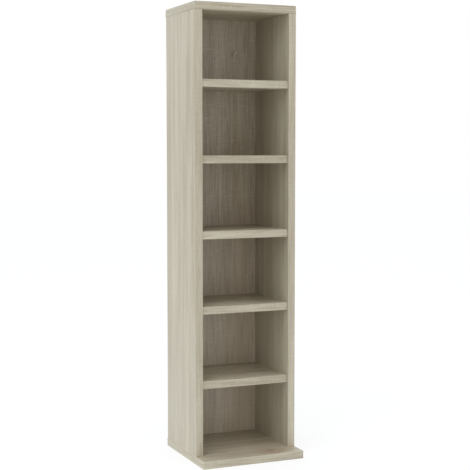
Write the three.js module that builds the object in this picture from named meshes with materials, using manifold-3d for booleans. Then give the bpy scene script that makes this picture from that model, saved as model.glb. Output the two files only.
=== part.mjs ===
// An open storage tower for compact discs: two sides, a top, a base that reaches out in front,
// five fixed shelves and a thin back, with the fittings that hold the boards together.
// Millimetres. +Z is up, the open front faces -Y, and the origin is on the floor, at the
// middle of the base.
import * as THREE from "three";
import { mergeVertices } from "three/addons/utils/BufferGeometryUtils.js";
import Module from "manifold-3d";

// Boards
const towerWidth = 210;
const towerHeight = 880;
const baseDepth = 200;
const topDepth = 160;
const boardThickness = 15;
const backThickness = 3;
const backSideInset = 2;
const backEndInset = 0.2;
const shelfCount = 5;
const shelfSetback = 3;
const buttGap = 0.1;

// Holes for the fittings
const holeClearance = 0.3;
const cutOverrun = 1;
const blindSkin = 4;

// Cam bolts, which screw into the sides
const boltSetback = 37;
const boltReach = 34;
const boltThreadDiameter = 5.4;
const boltTipChamfer = 0.8;
const boltCollarDiameter = 7.4;
const boltCollarThickness = 1.5;
const boltShankDiameter = 6.4;
const boltNeckDiameter = 4.4;
const boltHeadDiameter = 7;
const boltHeadLength = 5;
const boltHeadChamfer = 1;

// Cam locks, which turn in the undersides of the shelves
const camDiameter = 14.4;
const camSkin = 3;
const camWall = 2.4;
const camRecessDepth = 2.4;
const camRecessLength = 8;
const camRecessWidth = 1.6;
const camRecessFloor = 1;
const camSlotSweep = Math.PI * 0.7;

// Dowels, which share each shelf end with a bolt
const dowelInset = 37;
const dowelDiameter = 8;
const dowelLength = 30;
const dowelChamfer = 1;

// Screws that hold the top and the base to the ends of the sides, and the flat caps that lie on
// the sunk heads of the top ones
const screwInset = 32;
const screwLength = 50;
const screwSink = 0.6;
const screwHeadDiameter = 10;
const screwHeadRim = 0.6;
const screwShankDiameter = 7;
const screwThreadDiameter = 6.2;
const screwPointLength = 3;
const screwPointDiameter = 3;
const screwSocketWidth = 4;
const screwSocketDepth = 3;
const capDiameter = 10;
const capThickness = 0.4;

// Nails that hold the back to the sides
const nailCount = 4;
const nailEndInset = 60;
const nailLength = 20;
const nailSink = 0.1;
const nailDiameter = 1.6;
const nailHeadDiameter = 3.6;
const nailHeadThickness = 0.6;
const nailPointLength = 2;

// How many flats stand for a round
const wideSteps = 20;
const boreSteps = 16;
const narrowSteps = 12;
const thinSteps = 8;
const socketSides = 6;

// Where the boards lie
const halfWidth = towerWidth / 2;
const innerHalfWidth = halfWidth - boardThickness;
const sideMiddle = halfWidth - boardThickness / 2;
const backFace = baseDepth / 2;
const bodyFront = backFace - topDepth;
const bodyBack = backFace - backThickness - buttGap;
const baseTop = boardThickness;
const topUnderside = towerHeight - boardThickness;
const sideBottom = baseTop + buttGap;
const sideTop = topUnderside - buttGap;
const compartmentHeight = (topUnderside - baseTop - shelfCount * boardThickness) / (shelfCount + 1);
const shelfEnd = innerHalfWidth - buttGap;
const shelfUndersideAt = (number) =>
  baseTop + number * compartmentHeight + (number - 1) * boardThickness;

// Where the fittings lie
const ends = [
  { word: "left", sign: -1 },
  { word: "right", sign: 1 },
];
const boltRow = bodyFront + boltSetback;
const dowelRow = bodyBack - dowelInset;
const screwRows = [
  { word: "front", y: bodyFront + screwInset },
  { word: "back", y: bodyBack - screwInset },
];
const blindDepth = boardThickness - blindSkin;
const camAxis = shelfEnd - boltReach;
const camHousingDepth = boardThickness - camSkin;
const camHeight = camHousingDepth - holeClearance;
const nailHeights = Array.from(
  { length: nailCount },
  (_, i) =>
    sideBottom + nailEndInset + (i * (sideTop - sideBottom - 2 * nailEndInset)) / (nailCount - 1),
);

const wasm = await Module();
wasm.setup();

const point = (x, y, z) => new THREE.Vector3(x, y, z);

// A closed geometry as a solid that can be cut and joined
function solidOf(geometry) {
  const bare = geometry.clone();
  bare.deleteAttribute("normal");
  bare.deleteAttribute("uv");
  const merged = mergeVertices(bare);
  return new wasm.Manifold(
    new wasm.Mesh({
      numProp: 3,
      vertProperties: merged.attributes.position.array,
      triVerts: new Uint32Array(merged.index.array),
    }),
  );
}

// The first geometry with all the others cut out of it
function cut(geometry, cutters) {
  let solid = solidOf(geometry);
  for (const cutter of cutters) solid = solid.subtract(solidOf(cutter));
  const mesh = solid.getMesh();
  const result = new THREE.BufferGeometry();
  result.setAttribute("position", new THREE.BufferAttribute(mesh.vertProperties, 3));
  result.setIndex(new THREE.BufferAttribute(mesh.triVerts, 1));
  result.computeVertexNormals();
  return result;
}

// A round bar from one point to another, whose ends may have different diameters
function bar(from, to, diameter, steps, endDiameter = diameter) {
  const along = to.clone().sub(from);
  const geometry = new THREE.CylinderGeometry(
    endDiameter / 2,
    diameter / 2,
    along.length(),
    steps,
  );
  const turn = new THREE.Quaternion().setFromUnitVectors(
    point(0, 1, 0),
    along.clone().normalize(),
  );
  geometry.applyQuaternion(turn);
  const middle = from.clone().add(to).multiplyScalar(0.5);
  return geometry.translate(middle.x, middle.y, middle.z);
}

// A turned piece from the radii and heights of its outline, both ends on the axis
function turned(outline, steps) {
  const profile = outline.map(([radius, height]) => new THREE.Vector2(radius, height));
  return new THREE.LatheGeometry(profile, steps);
}

function piece(name, geometry, material, place) {
  const mesh = new THREE.Mesh(geometry, material);
  mesh.name = name;
  mesh.position.copy(place);
  return mesh;
}

// A board between two corners of the tower, with its holes cut out of it
function board(name, low, high, holes, material) {
  const size = high.clone().sub(low);
  const middle = low.clone().add(high).multiplyScalar(0.5);
  const blank = new THREE.BoxGeometry(size.x, size.y, size.z);
  const cutters = holes.map((hole) => hole.translate(-middle.x, -middle.y, -middle.z));
  return piece(name, cut(blank, cutters), material, middle);
}

const oakDecor = new THREE.MeshStandardMaterial({
  color: 0xc2bbaa,
  roughness: 0.6,
  metalness: 0,
});
const backDecor = new THREE.MeshStandardMaterial({
  color: 0xb5ad9b,
  roughness: 0.7,
  metalness: 0,
});
const capFoil = new THREE.MeshStandardMaterial({
  color: 0xbdb5a3,
  roughness: 0.5,
  metalness: 0,
});
const beech = new THREE.MeshStandardMaterial({
  color: 0xd3b083,
  roughness: 0.8,
  metalness: 0,
});
const zincCasting = new THREE.MeshStandardMaterial({
  color: 0xa9acae,
  roughness: 0.5,
  metalness: 0.9,
});
const platedSteel = new THREE.MeshStandardMaterial({
  color: 0xc4c6c8,
  roughness: 0.35,
  metalness: 0.9,
});

// The holes for one screw: its sunk head and shank in the outer board, and its thread in the side.
// outward is 1 where the head faces up and -1 where it faces down.
function screwHoles(x, y, face, outward) {
  const headDiameter = screwHeadDiameter + 2 * holeClearance;
  const shankDiameter = screwShankDiameter + 2 * holeClearance;
  const rimBottom = face - outward * (screwSink + screwHeadRim + holeClearance);
  const coneDepth = (screwHeadDiameter - screwShankDiameter) / 2;
  const coneBottom = rimBottom - outward * coneDepth;
  const boardInside = face - outward * boardThickness;
  return [
    bar(
      point(x, y, rimBottom),
      point(x, y, face + outward * cutOverrun),
      headDiameter,
      boreSteps,
    ),
    bar(
      point(x, y, coneBottom),
      point(x, y, rimBottom),
      shankDiameter,
      boreSteps,
      headDiameter,
    ),
    bar(
      point(x, y, boardInside - outward * cutOverrun),
      point(x, y, coneBottom),
      shankDiameter,
      boreSteps,
    ),
  ];
}

function screwPilot(x, y, sideEnd, face, outward) {
  const bottom = face - outward * (screwSink + screwLength + holeClearance);
  return bar(
    point(x, y, sideEnd + outward * cutOverrun),
    point(x, y, bottom),
    screwThreadDiameter + 2 * holeClearance,
    narrowSteps,
  );
}

// The two side panels: blind holes for the bolts and dowels of every shelf, pilot holes in both
// ends for the screws, and nail holes in the back edge.
function sidePanel({ word, sign }) {
  const holes = [];
  const face = sign * (innerHalfWidth - cutOverrun);
  const floor = sign * (innerHalfWidth + blindDepth);
  for (let number = 1; number <= shelfCount; number += 1) {
    const z = shelfUndersideAt(number) + boardThickness / 2;
    holes.push(
      bar(
        point(face, boltRow, z),
        point(floor, boltRow, z),
        boltThreadDiameter + 2 * holeClearance,
        narrowSteps,
      ),
    );
    holes.push(
      bar(
        point(face, dowelRow, z),
        point(floor, dowelRow, z),
        dowelDiameter + 2 * holeClearance,
        boreSteps,
      ),
    );
  }
  for (const { y } of screwRows) {
    holes.push(screwPilot(sign * sideMiddle, y, sideTop, towerHeight, 1));
    holes.push(screwPilot(sign * sideMiddle, y, sideBottom, 0, -1));
  }
  for (const z of nailHeights) {
    holes.push(
      bar(
        point(sign * sideMiddle, bodyBack + cutOverrun, z),
        point(sign * sideMiddle, backFace - nailSink - nailLength - holeClearance, z),
        nailDiameter + 2 * holeClearance,
        thinSteps,
      ),
    );
  }
  const outer = sign * halfWidth;
  const inner = sign * innerHalfWidth;
  return board(
    `${word}_side_panel`,
    point(Math.min(outer, inner), bodyFront, sideBottom),
    point(Math.max(outer, inner), bodyBack, sideTop),
    holes,
    oakDecor,
  );
}

// The top and the base: plain boards over the ends of the sides, screwed to them.
function endBoard(name, front, low, high, face, outward) {
  const holes = ends.flatMap(({ sign }) =>
    screwRows.flatMap(({ y }) => screwHoles(sign * sideMiddle, y, face, outward)),
  );
  return board(
    name,
    point(-halfWidth, front, low),
    point(halfWidth, backFace, high),
    holes,
    oakDecor,
  );
}

// A shelf: a bore in each end for the bolt, which runs into the cam's round housing in the
// underside, and a bore for the dowel.
function shelfBoard(number) {
  const underside = shelfUndersideAt(number);
  const middle = underside + boardThickness / 2;
  const holes = ends.flatMap(({ sign }) => {
    const outside = sign * (shelfEnd + cutOverrun);
    const dowelFloor = shelfEnd - (dowelLength - blindDepth) - 2 * holeClearance;
    return [
      bar(
        point(sign * camAxis, boltRow, underside - cutOverrun),
        point(sign * camAxis, boltRow, underside + camHousingDepth),
        camDiameter + 2 * holeClearance,
        wideSteps,
      ),
      bar(
        point(outside, boltRow, middle),
        point(sign * camAxis, boltRow, middle),
        boltCollarDiameter + 2 * holeClearance,
        boreSteps,
      ),
      bar(
        point(outside, dowelRow, middle),
        point(sign * dowelFloor, dowelRow, middle),
        dowelDiameter + 2 * holeClearance,
        boreSteps,
      ),
    ];
  });
  return board(
    `shelf_${number}`,
    point(-shelfEnd, bodyFront + shelfSetback, underside),
    point(shelfEnd, bodyBack, underside + boardThickness),
    holes,
    oakDecor,
  );
}

// The back: a thin panel behind the sides and shelves, between the base and the top.
function backBoard() {
  const holes = ends.flatMap(({ sign }) =>
    nailHeights.flatMap((z) => {
      const x = sign * sideMiddle;
      const pocketFloor = backFace - nailSink - nailHeadThickness - holeClearance;
      return [
        bar(
          point(x, pocketFloor, z),
          point(x, backFace + cutOverrun, z),
          nailHeadDiameter + 2 * holeClearance,
          narrowSteps,
        ),
        bar(
          point(x, bodyBack - cutOverrun, z),
          point(x, pocketFloor, z),
          nailDiameter + 2 * holeClearance,
          thinSteps,
        ),
      ];
    }),
  );
  return board(
    "back_panel",
    point(backSideInset - halfWidth, bodyBack + buttGap, baseTop + backEndInset),
    point(halfWidth - backSideInset, backFace, topUnderside - backEndInset),
    holes,
    backDecor,
  );
}

// A cam bolt, turned about its own axis: thread, collar, shank, neck and the head that the cam
// grips. Height 0 is the inner face of the side that it screws into.
function boltGeometry() {
  const thread = boltThreadDiameter / 2;
  const collar = boltCollarDiameter / 2;
  const shank = boltShankDiameter / 2;
  const neck = boltNeckDiameter / 2;
  const head = boltHeadDiameter / 2;
  const tip = holeClearance - blindDepth;
  const collarTop = buttGap + boltCollarThickness;
  const headMiddle = buttGap + boltReach;
  const neckBottom = headMiddle - camDiameter / 2 - holeClearance;
  const headBottom = headMiddle - boltHeadLength / 2;
  const headTop = headMiddle + boltHeadLength / 2;
  return turned(
    [
      [0, tip],
      [thread - boltTipChamfer, tip],
      [thread, tip + boltTipChamfer],
      [thread, buttGap],
      [collar, buttGap],
      [collar, collarTop],
      [shank, collarTop],
      [shank, neckBottom],
      [neck, neckBottom],
      [neck, headBottom],
      [head - boltHeadChamfer, headBottom],
      [head, headBottom + boltHeadChamfer],
      [head, headTop - boltHeadChamfer],
      [head - boltHeadChamfer, headTop],
      [0, headTop],
    ],
    narrowSteps,
  );
}

// A cam lock, axis upright, with its driver cross in the bottom face. Its hollow is open at the
// top, a slot lets the bolt's neck through its wall, and the wide mouth at the slot's far end is
// where the bolt's head went in before the cam was turned.
function camGeometry() {
  const radius = camDiameter / 2;
  const hollowRadius = radius - camWall;
  const hollowFloor = camRecessDepth + camRecessFloor;
  const boltHeight = boardThickness / 2;
  const slotHalf = boltNeckDiameter / 2 + holeClearance;
  const mouthHalf = boltHeadDiameter / 2 + holeClearance;
  const slotOutline = new THREE.Shape();
  slotOutline.moveTo(0, 0);
  slotOutline.absarc(0, 0, radius + cutOverrun, -slotHalf / hollowRadius, camSlotSweep, false);
  slotOutline.lineTo(0, 0);
  const slot = new THREE.ExtrudeGeometry(slotOutline, {
    depth: 2 * slotHalf,
    bevelEnabled: false,
    curveSegments: thinSteps,
  });
  slot.translate(0, 0, boltHeight - slotHalf);
  const mouthEnd = point(Math.cos(camSlotSweep), Math.sin(camSlotSweep), 0)
    .multiplyScalar(radius + cutOverrun)
    .setZ(boltHeight);
  const crossArms = [
    new THREE.BoxGeometry(camRecessLength, camRecessWidth, 2 * camRecessDepth),
    new THREE.BoxGeometry(camRecessWidth, camRecessLength, 2 * camRecessDepth),
  ];
  return cut(bar(point(0, 0, 0), point(0, 0, camHeight), camDiameter, wideSteps), [
    bar(
      point(0, 0, hollowFloor),
      point(0, 0, camHeight + cutOverrun),
      2 * hollowRadius,
      boreSteps,
    ),
    slot,
    bar(point(0, 0, boltHeight), mouthEnd, 2 * mouthHalf, narrowSteps),
    ...crossArms,
  ]);
}

// A fluted dowel's plain outline, turned about its own axis, centred.
function dowelGeometry() {
  const radius = dowelDiameter / 2;
  const half = dowelLength / 2;
  return turned(
    [
      [0, -half],
      [radius - dowelChamfer, -half],
      [radius, dowelChamfer - half],
      [radius, half - dowelChamfer],
      [radius - dowelChamfer, half],
      [0, half],
    ],
    boreSteps,
  );
}

// A sunk-head screw with a hexagon socket, point down, its head's face at height 0.
function screwGeometry() {
  const head = screwHeadDiameter / 2;
  const shank = screwShankDiameter / 2;
  const thread = screwThreadDiameter / 2;
  const coneBottom = -screwHeadRim - (head - shank);
  const threadTop = screwSink - boardThickness;
  const blank = turned(
    [
      [0, -screwLength],
      [screwPointDiameter / 2, -screwLength],
      [thread, screwPointLength - screwLength],
      [thread, threadTop],
      [shank, threadTop],
      [shank, coneBottom],
      [head, -screwHeadRim],
      [head, 0],
      [0, 0],
    ],
    narrowSteps,
  );
  const socket = bar(
    point(0, -screwSocketDepth, 0),
    point(0, cutOverrun, 0),
    screwSocketWidth / Math.cos(Math.PI / socketSides),
    socketSides,
  );
  return cut(blank, [socket]);
}

// A flat-headed nail, pointing down, its head's face at height 0.
function nailGeometry() {
  const head = nailHeadDiameter / 2;
  const shank = nailDiameter / 2;
  return turned(
    [
      [0, -nailLength],
      [shank, nailPointLength - nailLength],
      [shank, -nailHeadThickness],
      [head, -nailHeadThickness],
      [head, 0],
      [0, 0],
    ],
    thinSteps,
  );
}

const tower = new THREE.Group();
tower.add(endBoard("base_panel", -baseDepth / 2, 0, baseTop, 0, -1));
for (const end of ends) tower.add(sidePanel(end));
for (let number = 1; number <= shelfCount; number += 1) tower.add(shelfBoard(number));
tower.add(endBoard("top_panel", bodyFront, topUnderside, towerHeight, towerHeight, 1));
tower.add(backBoard());

const bolt = boltGeometry();
const cam = camGeometry();
const dowel = dowelGeometry();
const screw = screwGeometry();
const nail = nailGeometry();
const cap = new THREE.CylinderGeometry(capDiameter / 2, capDiameter / 2, capThickness, wideSteps);

// Each shelf's fittings hang in a group at the height of its underside.
for (let number = 1; number <= shelfCount; number += 1) {
  const fittings = new THREE.Group();
  fittings.position.z = shelfUndersideAt(number);
  for (const { word, sign } of ends) {
    const middle = boardThickness / 2;
    const boltPiece = piece(
      `shelf_${number}_cam_bolt_${word}`,
      bolt,
      platedSteel,
      point(sign * innerHalfWidth, boltRow, middle),
    );
    boltPiece.rotation.z = (sign * Math.PI) / 2;
    const camPiece = piece(
      `shelf_${number}_cam_lock_${word}`,
      cam,
      zincCasting,
      point(sign * camAxis, boltRow, 0),
    );
    camPiece.rotation.z = sign > 0 ? 0 : Math.PI;
    const dowelMiddle = innerHalfWidth + blindDepth - holeClearance - dowelLength / 2;
    const dowelPiece = piece(
      `shelf_${number}_dowel_${word}`,
      dowel,
      beech,
      point(sign * dowelMiddle, dowelRow, middle),
    );
    dowelPiece.rotation.z = Math.PI / 2;
    fittings.add(boltPiece, camPiece, dowelPiece);
  }
  tower.add(fittings);
}

// The screws of the top and the base, with a cap on each sunk head in the top.
for (const { word, sign } of ends) {
  for (const row of screwRows) {
    const x = sign * sideMiddle;
    const corner = `${row.word}_${word}`;
    const topScrew = piece(
      `top_screw_${corner}`,
      screw,
      platedSteel,
      point(x, row.y, towerHeight - screwSink),
    );
    topScrew.rotation.x = Math.PI / 2;
    const baseScrew = piece(
      `base_screw_${corner}`,
      screw,
      platedSteel,
      point(x, row.y, screwSink),
    );
    baseScrew.rotation.x = -Math.PI / 2;
    const capPiece = piece(
      `top_screw_cap_${corner}`,
      cap,
      capFoil,
      point(x, row.y, towerHeight - screwSink + buttGap + capThickness / 2),
    );
    capPiece.rotation.x = Math.PI / 2;
    tower.add(topScrew, baseScrew, capPiece);
  }
}

// The nails of the back.
for (const { word, sign } of ends) {
  nailHeights.forEach((z, i) => {
    const name = `back_nail_${word}_${i + 1}`;
    tower.add(piece(name, nail, platedSteel, point(sign * sideMiddle, backFace - nailSink, z)));
  });
}

export default tower;
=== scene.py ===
import math

import bpy
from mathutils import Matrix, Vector


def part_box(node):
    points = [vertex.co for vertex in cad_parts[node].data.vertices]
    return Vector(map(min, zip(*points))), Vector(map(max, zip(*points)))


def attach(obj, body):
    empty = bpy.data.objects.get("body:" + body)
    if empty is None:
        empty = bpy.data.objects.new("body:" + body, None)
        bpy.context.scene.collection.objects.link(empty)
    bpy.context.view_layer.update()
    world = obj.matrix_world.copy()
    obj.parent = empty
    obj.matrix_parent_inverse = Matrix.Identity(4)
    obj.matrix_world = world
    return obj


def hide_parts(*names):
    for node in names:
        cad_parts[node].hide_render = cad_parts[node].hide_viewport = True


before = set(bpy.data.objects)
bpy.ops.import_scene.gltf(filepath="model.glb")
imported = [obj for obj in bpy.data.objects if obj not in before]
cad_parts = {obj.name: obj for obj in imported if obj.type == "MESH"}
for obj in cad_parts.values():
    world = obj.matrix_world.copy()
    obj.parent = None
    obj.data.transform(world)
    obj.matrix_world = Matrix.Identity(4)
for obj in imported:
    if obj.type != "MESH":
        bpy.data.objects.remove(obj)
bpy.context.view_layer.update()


# The sides
# Two 15 mm boards of pressed wood chips, faced with oak-printed paper in melamine resin and
# sawn to size. A printed strip is glued along the front edge; the other edges are left raw.
MM = 0.001
BAND_THICKNESS = 0.8 * MM
BAND_ROUNDING = 0.4 * MM
BAND_ROUNDING_STEPS = 3
SAWN_ARRIS = 0.45 * MM
HOLE_CLEARANCE = 0.3 * MM
CUT_OVERRUN = 1 * MM
DRILLED_DEPTH = 11 * MM
BOLT_SETBACK = 37 * MM
DOWEL_INSET = 37 * MM
SCREW_INSET = 32 * MM
THREAD_DIAMETER = 5.4 * MM
DOWEL_DIAMETER = 8 * MM
PILOT_DIAMETER = 6.2 * MM
PILOT_DEPTH = 36 * MM
NAIL_DIAMETER = 1.6 * MM
NAIL_INSET = 60 * MM
NAIL_COUNT = 4
NAIL_HOLE_DEPTH = 17.3 * MM
NAIL_HOLE_STEPS = 20
SHELF_NAMES = [f"shelf_{number}" for number in range(1, 6)]
ENDS = (("left", -1), ("right", 1))
SHADE_ANGLE = math.radians(20)
SHARP_ANGLE = math.radians(40)
# A face looks along an axis if its normal does so by this share.
FACING = 0.9
# Points no further apart than this, in metres, lie in one plane.
TOUCHING = 1e-6


def add_block(name, low, high):
    """A block between two corners, with its place in its mesh."""
    bpy.ops.object.select_all(action="DESELECT")
    bpy.ops.mesh.primitive_cube_add(size=1, location=(low + high) / 2, scale=high - low)
    block = bpy.context.object
    block.name = name
    bpy.ops.object.transform_apply(location=True, rotation=True, scale=True)
    return block


def use(piece):
    """Makes the piece the only selected and the active one."""
    bpy.ops.object.select_all(action="DESELECT")
    piece.select_set(True)
    bpy.context.view_layer.objects.active = piece


def finish_modifier(piece, kind, **settings):
    """Gives the piece a modifier and applies it."""
    use(piece)
    modifier = piece.modifiers.new(kind.lower(), kind)
    for setting, value in settings.items():
        setattr(modifier, setting, value)
    bpy.ops.object.modifier_apply(modifier=modifier.name)


def cut_out(piece, tool, operation="DIFFERENCE"):
    """Cuts the tool's shape out of the piece, or joins it on, and takes the tool away."""
    finish_modifier(piece, "BOOLEAN", object=tool, operation=operation, solver="EXACT")
    bpy.data.objects.remove(tool)


def drill(piece, start, end, diameter, end_diameter=None, steps=40):
    """Drills a round hole, which may widen or narrow towards its end."""
    axis = end - start
    bpy.ops.object.select_all(action="DESELECT")
    bpy.ops.mesh.primitive_cone_add(
        vertices=steps,
        radius1=diameter / 2,
        radius2=(end_diameter or diameter) / 2,
        depth=axis.length,
        location=(start + end) / 2,
        rotation=axis.to_track_quat("Z", "Y").to_euler(),
    )
    cut_out(piece, bpy.context.object)


def pick(piece, kind, test):
    """Goes into edit mode with only those vertices, edges or polygons selected that pass."""
    use(piece)
    bpy.ops.object.mode_set(mode="EDIT")
    bpy.ops.mesh.select_mode(type={"vertices": "VERT", "edges": "EDGE", "polygons": "FACE"}[kind])
    bpy.ops.mesh.select_all(action="DESELECT")
    bpy.ops.object.mode_set(mode="OBJECT")
    for part in getattr(piece.data, kind):
        part.select = test(part)
    bpy.ops.object.mode_set(mode="EDIT")


def leave(piece):
    """Leaves edit mode and shades the round walls smooth."""
    bpy.ops.object.mode_set(mode="OBJECT")
    use(piece)
    bpy.ops.object.shade_smooth_by_angle(angle=SHADE_ANGLE)


def ease_arrises(piece, width):
    """Takes the sharpness off every edge and hole rim, as sanding or a cutter does."""
    finish_modifier(
        piece,
        "BEVEL",
        width=width,
        limit_method="ANGLE",
        angle_limit=SHARP_ANGLE,
    )
    use(piece)
    bpy.ops.object.shade_smooth_by_angle(angle=SHADE_ANGLE)


def face_board(piece, axis, low, high, faces, edges):
    """Gives the two wide faces one material, and sawn edges, arrises and holes another."""
    piece.data.materials.append(edges)
    piece.data.materials.append(faces)
    near = 2 * SAWN_ARRIS
    pick(
        piece,
        "polygons",
        lambda face: abs(face.normal[axis]) > FACING
        and min(abs(face.center[axis] - low[axis]), abs(face.center[axis] - high[axis])) < near,
    )
    piece.active_material_index = 1
    bpy.ops.object.material_slot_assign()
    leave(piece)


def glue_band(name, low, high, axis, outward, material):
    """A printed strip on a board's edge. Its outer arrises are rounded by the trimming cutter."""
    band = add_block(name, low, high)
    band.data.materials.append(material)
    outer = high[axis] if outward > 0 else low[axis]
    points = band.data.vertices
    pick(
        band,
        "edges",
        lambda edge: all(abs(points[i].co[axis] - outer) < TOUCHING for i in edge.vertices),
    )
    bpy.ops.mesh.bevel(offset=BAND_ROUNDING, segments=BAND_ROUNDING_STEPS, affect="EDGES")
    leave(band)
    return band


def srgb(code):
    """A colour written as sRGB hex, in linear light."""
    parts = [int(code[i : i + 2], 16) / 255 for i in (1, 3, 5)]
    return [c / 12.92 if c < 0.04045 else ((c + 0.055) / 1.055) ** 2.4 for c in parts] + [1]


def add_node(tree, kind, inputs=None, **settings):
    """Adds a node: its settings, and its inputs as values or as other nodes' outputs."""
    node = tree.nodes.new("ShaderNode" + kind)
    for setting, value in settings.items():
        setattr(node, setting, value)
    for socket, value in (inputs or {}).items():
        if isinstance(value, bpy.types.NodeSocket):
            tree.links.new(value, node.inputs[socket])
        else:
            node.inputs[socket].default_value = value
    return node


def new_material(name):
    """An empty material, its node tree and its shader."""
    material = bpy.data.materials.new(name)
    material.use_nodes = True
    tree = material.node_tree
    return material, tree, tree.nodes["Principled BSDF"]


# Melamine-faced board, oak print: pressed against a lightly textured plate, so it is silky and
# the pores are printed and slightly sunk. Pale boards with soft streaks and thin darker lines
# along the grain, crossed by faint flecks.
PRINT_DARK = "#8e836a"
PRINT_LIGHT = "#cac2ae"
PRINT_PINK = "#b39b83"
KNOT_BROWN = "#6d5949"
MELAMINE_IOR = 1.68
KNOT_TILT = math.radians(25)
KNOT_PULL = 0.9
KNOT_DARKENING = 2.2
# The middle tone between dark and light, and the patterns' shares that all boards have.
PRINT_TONE = 0.54
CLOUDY = 0.9
PORES = 0.16
RAYS_TO_FINE = 0.7
# How the print is turned for each direction of the grain.
GRAIN_UPRIGHT = (0, 0, 0)
GRAIN_ALONG_X = (0, math.radians(-90), 0)
GRAIN_ALONG_Y = (math.radians(90), 0, 0)


def oak_print(
    name, turn, shift, streaky=0.9, lines=0.2, fine=0.3, lift=0, blush=0.13, knot=None
):
    """The printed oak, turned along a board and cut from its own place on the printed roll.

    Streaky, lines and fine are the shares of those patterns. Lift makes the print paler and
    blush makes it pinker. A knot is its middle, its radius and how red the wood round it is.
    """
    material, tree, shader = new_material(name)
    place = add_node(tree, "TexCoord").outputs["Object"]
    if knot:
        # A small knot: the lines swing round it, and its heart is a brown dash askew to them.
        # It reaches an eighth of the radius across the grain and over half of it along.
        middle, radius, redness = knot
        heart = add_node(
            tree,
            "Mapping",
            {
                "Vector": place,
                "Location": middle,
                "Rotation": (0, turn[1] + KNOT_TILT, 0),
                "Scale": (radius / 8, radius / 8, radius / 1.7),
            },
            vector_type="TEXTURE",
        ).outputs[0]
        dash = add_node(tree, "VectorMath", {0: heart}, operation="LENGTH").outputs["Value"]
        away = add_node(
            tree, "VectorMath", {0: place, 1: middle}, operation="SUBTRACT"
        ).outputs[0]
        reach = add_node(tree, "VectorMath", {0: away}, operation="LENGTH").outputs["Value"]
        pull = add_node(
            tree,
            "MapRange",
            {"Value": reach, "From Max": radius, "To Min": -KNOT_PULL, "To Max": 0},
            interpolation_type="SMOOTHSTEP",
        ).outputs[0]
        place = add_node(
            tree, "VectorMath", {0: away, 1: pull, 2: place}, operation="MULTIPLY_ADD"
        ).outputs[0]
    straight = add_node(
        tree, "Mapping", {"Vector": place, "Rotation": turn, "Location": shift}
    ).outputs[0]
    # The grain wanders by 4 mm to each side, within about 200 mm along the board.
    calm = add_node(tree, "Mapping", {"Vector": straight, "Scale": (1, 1, 0.4)}).outputs[0]
    bend = add_node(
        tree, "TexNoise", {"Vector": calm, "Scale": 12, "Detail": 2, "Roughness": 0.45}
    ).outputs["Color"]
    grain = add_node(
        tree,
        "VectorMath",
        {0: bend, 1: (8 * MM, 8 * MM, 0), 2: straight},
        operation="MULTIPLY_ADD",
    ).outputs[0]
    # Cloudy patches 100 mm wide and 350 mm long.
    broad = add_node(tree, "Mapping", {"Vector": straight, "Scale": (1, 1, 0.3)}).outputs[0]
    clouds = add_node(
        tree, "TexNoise", {"Vector": broad, "Scale": 9, "Detail": 2, "Roughness": 0.5}
    ).outputs[0]
    # Streaks of tone 15 mm wide and about half a metre long, as between the tree's years.
    drawn = add_node(tree, "Mapping", {"Vector": grain, "Scale": (1, 1, 0.035)}).outputs[0]
    streaks = add_node(
        tree, "TexNoise", {"Vector": drawn, "Scale": 66, "Detail": 3, "Roughness": 0.55}
    ).outputs[0]
    # Late wood: thin dark lines 3 to 6 mm apart, which run together into long arches.
    years = add_node(tree, "Mapping", {"Vector": grain, "Scale": (1, 1, 0.03)}).outputs[0]
    level = add_node(
        tree, "TexNoise", {"Vector": years, "Scale": 105, "Detail": 2, "Roughness": 0.5}
    ).outputs[0]
    folded = add_node(tree, "Math", {0: level, 1: 0.07}, operation="PINGPONG").outputs[0]
    late_wood = add_node(
        tree,
        "MapRange",
        {"Value": folded, "From Max": 0.04, "To Min": 1, "To Max": 0},
        interpolation_type="SMOOTHSTEP",
    ).outputs[0]
    # Grain lines. Real ones are 0.4 mm wide; these are 2 mm, so that they show.
    fibre_noise = add_node(
        tree, "TexNoise", {"Vector": drawn, "Scale": 430, "Detail": 1, "Roughness": 0.5}
    ).outputs[0]
    fibres = add_node(
        tree, "MapRange", {"Value": fibre_noise, "From Min": 0.3, "From Max": 0.7}
    ).outputs[0]
    # Pores: dashes 0.7 mm wide and 15 mm long.
    dashes = add_node(tree, "Mapping", {"Vector": grain, "Scale": (1, 1, 0.045)}).outputs[0]
    pore_noise = add_node(
        tree, "TexNoise", {"Vector": dashes, "Scale": 1100, "Detail": 1}
    ).outputs[0]
    pores = add_node(
        tree,
        "MapRange",
        {"Value": pore_noise, "From Min": 0.6, "From Max": 0.7},
        interpolation_type="SMOOTHSTEP",
    ).outputs[0]
    # Rays: pale flecks across the grain, 2 mm high and about 10 mm long.
    across = add_node(tree, "Mapping", {"Vector": grain, "Scale": (0.2, 0.2, 1)}).outputs[0]
    ray_noise = add_node(
        tree, "TexNoise", {"Vector": across, "Scale": 420, "Detail": 1}
    ).outputs[0]
    rays = add_node(
        tree,
        "MapRange",
        {"Value": ray_noise, "From Min": 0.55, "From Max": 0.75},
        interpolation_type="SMOOTHSTEP",
    ).outputs[0]
    if knot:
        # Round a knot the lines are three times as dark.
        darker = add_node(
            tree, "Math", {0: pull, 1: -KNOT_DARKENING, 2: 1}, operation="MULTIPLY_ADD"
        ).outputs[0]
        late_wood = add_node(
            tree, "Math", {0: late_wood, 1: darker}, operation="MULTIPLY"
        ).outputs[0]
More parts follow.
